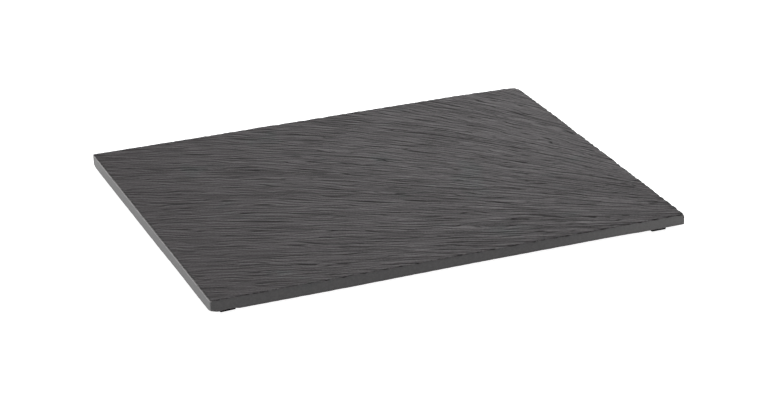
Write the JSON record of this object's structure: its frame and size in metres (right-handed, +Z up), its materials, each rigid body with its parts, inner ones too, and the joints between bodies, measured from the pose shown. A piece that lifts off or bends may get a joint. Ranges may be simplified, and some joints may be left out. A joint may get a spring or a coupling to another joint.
{
  "type": "slate slab",
  "caption": "Flat rectangular riven slate serving slab with sawn edges, standing on rubber pads; its top carries food or dishes.",
  "frame": {"origin": "on the table, under the middle of the slab: the centre of the bounding box's underside", "axes": "+X along the long side, +Y along the short side towards the back edge, +Z up"},
  "size_m": [0.325, 0.265, 0.012],
  "materials": {
    "slate": "natural riven faces with fine wavy grain, matt with a slight sheen; smoother sawn edges",
    "pad_rubber": "matt black die-cut rubber"
  },
  "bodies": {
    "root": {"slab": "slate", "foot_front_left": "pad_rubber", "foot_front_right": "pad_rubber", "foot_back_left": "pad_rubber", "foot_back_right": "pad_rubber"}
  },
  "joints": []
}
